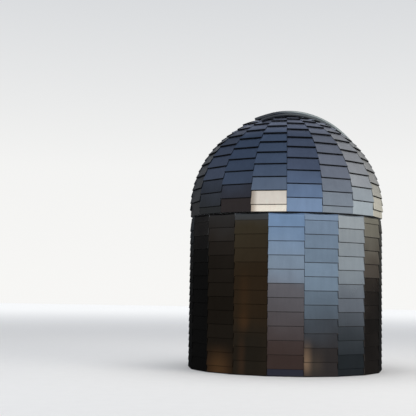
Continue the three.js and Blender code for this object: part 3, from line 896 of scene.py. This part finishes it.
def add_door_pieces():
    """Drip rail over the door, threshold strip, three hinges at one edge and a pull with its lock at the
    other. The pull's ends bend out of the wall: out grows evenly and height by the square of the share."""
    drip = np.array([[0.004, 0.050], [0.030, 0.040], [0.056, 0.030], [0.060, 0.024], [0.060, 0.006],
                     [0.056, 0.006], [0.055, 0.022], [0.030, 0.032], [0.004, 0.040], [0.004, 0.050]])
    add_door_rail("door_drip_rail", drip, DOOR_TOP)
    sill = np.array([[0.004, 0.004], [0.050, 0.001], [0.052, -0.003], [0.050, -0.006], [0.004, -0.006],
                     [0.004, 0.004]])
    add_door_rail("door_sill_strip", sill, FLOOR_TOP)
    for count, height in enumerate(HINGE_HEIGHTS):
        span = np.linspace(height - 0.06, height + 0.06, 7)
        add_bar(f"door_hinge_{count + 1}", door_place(-DOOR_HALF + 0.012, 0.044, span), 0.011)
    share = np.linspace(0, 1, 6)
    reach = 0.024 + 0.046 * share
    bend = 0.022 * share ** 2
    out = np.concatenate([reach, np.full(9, 0.078), reach[::-1]])
    height = np.concatenate([PULL_BOTTOM + bend, np.linspace(PULL_BOTTOM + 0.03, PULL_TOP - 0.03, 9),
                             PULL_TOP - bend[::-1]])
    add_bar("door_pull", door_place(DOOR_HALF - PULL_INSET, out, height), 0.010)
    out = np.linspace(0.018, 0.036, 4)
    add_bar("door_lock", door_place(DOOR_HALF - PULL_INSET, out, LOCK_HEIGHT), 0.022, 24)


def add_gore_ribs():
    """Thin ribs inside the dome, one under each ridge: a narrow box carried up the ridge's circle."""
    angle = np.radians(np.linspace(3.0, 79.0, 39))[:, None]
    section = np.array([[2.556, -0.004], [2.500, -0.004], [2.496, 0.0], [2.500, 0.004], [2.556, 0.004],
                        [2.556, -0.004]])
    radius, across = section.T
    ridge = np.radians(SIDE_TURN * np.arange(SIDES) - 90.0)[:, None, None]
    distance = radius * np.cos(angle)
    x = distance * np.cos(ridge) - across * np.sin(ridge)
    y = distance * np.sin(ridge) + across * np.cos(ridge)
    points = np.stack(np.broadcast_arrays(x, y, DOME_CENTRE + radius * np.sin(angle)), axis=-1)
    ribs = add_piece("gore_ribs", points, grid_faces(*points.shape[:3]), ZINC_STEEL, "dome",
                     smooth=False)
    close_seams(ribs)
    cut_for_frame(ribs, FRAME_HALF_WIDTH)


def add_shutter_rivets():
    """Low round rivets along both edges of the shutter's crown: each is a small dome of four rings, given by
    their reach from its middle and their bulge out of the sheet."""
    degrees = np.arange(SHUTTER_START + 1.5, SHUTTER_END - 1.0, RIVET_PITCH)
    angle = np.repeat(np.radians(degrees), 2)[:, None, None]
    across = np.tile([SHUTTER_HALF_WIDTH - 0.040, -SHUTTER_HALF_WIDTH + 0.040], len(degrees))[:, None, None]
    reach = np.array([0.008, 0.0075, 0.005, 0.0002])[:, None]
    bulge = np.array([-0.0045, 0.0, 0.0026, 0.0036])[:, None]
    turn = np.linspace(0, 2 * np.pi, 11)
    side = reach * np.cos(turn)
    step = reach * np.sin(turn)
    radius = SHUTTER_RADIUS + bulge
    along = radius * np.cos(angle) - step * np.sin(angle)
    height = radius * np.sin(angle) + step * np.cos(angle)
    points = slit_place(along, across + side, height)
    close_seams(add_piece("shutter_rivets", points, grid_faces(*points.shape[:3]), SHUTTER_SHEET, "shutter",
                          trim_marks(points.shape[:3], 0.3)))


def dress_nodes():
    """Gives each of the part's own pieces its finish."""
    for name, node in NODES.items():
        if name.startswith("wall_panel"):
            finish = WALL_BOARDS
        elif name == "floor":
            finish = DECK_BOARDS
        elif name.startswith("dome_gore"):
            finish = INNER_SHEET
        else:
            finish = ZINC_STEEL
        node.data.materials.clear()
        node.data.materials.append(finish)


# Studio: the backdrop's colours by height, and the lights' names, places, widths, watts and colours
BACKDROP = (
    (0.0, (0.93, 0.925, 0.91)), (0.12, (0.90, 0.90, 0.89)), (0.35, (0.62, 0.64, 0.67)),
    (0.70, (0.45, 0.48, 0.54)), (1.0, (0.38, 0.41, 0.47)),
)
LAMPS = (
    ("key", (16, -10, 14), 12, 1400, (1.0, 0.95, 0.88)),
    ("fill", (-16, -14, 10), 12, 700, (0.90, 0.94, 1.0)),
    ("top", (0, 0, 22), 16, 2200, (1.0, 0.99, 0.97)),
)
LAMPS_TARGET = Vector((0, 0, 3))
FLOOR_REACH = 90


def add_floor():
    """Pale matt floor that glows a little far away, so that it meets the backdrop softly."""
    floor = Finish("studio floor", 0.0, 0.9)
    point, _ = floor.place()
    speck = floor.noise(point, 3.0, 3.0)
    floor.out("Base Color", floor.blend(speck, (0.78, 0.77, 0.75), (0.82, 0.81, 0.79)))
    away = floor.node("ShaderNodeVectorMath", {"operation": "LENGTH"}, {0: point}).outputs["Value"]
    floor.out("Emission Color", floor.blend(
        floor.between(away, 5.0, 70.0), (0.0, 0.0, 0.0), (0.52, 0.52, 0.51)))
    floor.shader.inputs["Emission Strength"].default_value = 1.0
    corners = [(x * FLOOR_REACH, y * FLOOR_REACH, 0) for x, y in ((-1, -1), (1, -1), (1, 1), (-1, 1))]
    mesh = bpy.data.meshes.new("studio_floor")
    mesh.from_pydata(corners, [], [(0, 1, 2, 3)])
    mesh.materials.append(floor.material)
    plane = bpy.data.objects.new("studio_floor", mesh)
    bpy.context.scene.collection.objects.link(plane)


def add_light():
    """A soft even backdrop all round and three broad soft lights that nothing mirrors."""
    world = bpy.data.worlds.new("studio")
    bpy.context.scene.world = world
    world.use_nodes = True
    nodes = world.node_tree.nodes
    links = world.node_tree.links
    split = nodes.new("ShaderNodeSeparateXYZ")
    links.new(nodes.new("ShaderNodeTexCoord").outputs["Generated"], split.inputs[0])
    tones = nodes.new("ShaderNodeValToRGB")
    set_stops(tones.color_ramp, BACKDROP)
    links.new(split.outputs[2], tones.inputs[0])
    links.new(tones.outputs[0], nodes["Background"].inputs["Color"])
    for name, place, width, power, colour in LAMPS:
        light = bpy.data.lights.new(name, "AREA")
        light.size = width
        light.energy = power
        light.color = colour
        lamp = bpy.data.objects.new(name, light)
        lamp.location = place
        lamp.rotation_euler = (LAMPS_TARGET - Vector(place)).to_track_quat("-Z", "Y").to_euler()
        lamp.visible_glossy = False
        bpy.context.scene.collection.objects.link(lamp)


# Camera, from the fit of the drum's and dome's corners: its yaw, pitch and roll and the turn about the
# upright axis in degrees, its place before that turn, and its focal length on film 36 mm wide
CAMERA_TURNS = (-4.52, 4.67, 0.88, -0.49)
CAMERA_PLACE = (0, -27.066, 2.124)
CAMERA_LENS = 85.4


def add_camera():
    """Camera at the photographed view: turned about its own axes, moved to its place, then turned with it
    about the upright axis."""
    yaw, pitch, roll, turn = (math.radians(value) for value in CAMERA_TURNS)
    level_right = Vector((math.cos(yaw), -math.sin(yaw), 0))
    level_ahead = Vector((math.sin(yaw), math.cos(yaw), 0))
    ahead = level_ahead * math.cos(pitch) + Vector((0, 0, math.sin(pitch)))
    up = level_ahead * -math.sin(pitch) + Vector((0, 0, math.cos(pitch)))
    right = level_right * math.cos(roll) + up * math.sin(roll)
    top = up * math.cos(roll) - level_right * math.sin(roll)
    axes = Matrix((right, top, -ahead)).transposed().to_4x4()
    placed = Matrix.Rotation(turn, 4, "Z") @ Matrix.Translation(CAMERA_PLACE) @ axes
    lens = bpy.data.cameras.new("camera")
    lens.lens = CAMERA_LENS
    lens.sensor_width = 36.0
    lens.clip_end = 300.0
    camera = bpy.data.objects.new("camera", lens)
    camera.matrix_world = placed
    bpy.context.scene.collection.objects.link(camera)
    bpy.context.scene.camera = camera


bpy.context.scene.view_settings.view_transform = "Standard"
add_camera()
add_floor()
add_light()
dress_nodes()
add_drum_plates()
add_gore_plates()
add_shutter_cover()
add_shutter_ends()
add_curb_flashing()
add_head_flashing()
add_seam_brush()
add_foot_seal()
add_door_pieces()
add_gore_ribs()
add_shutter_rivets()
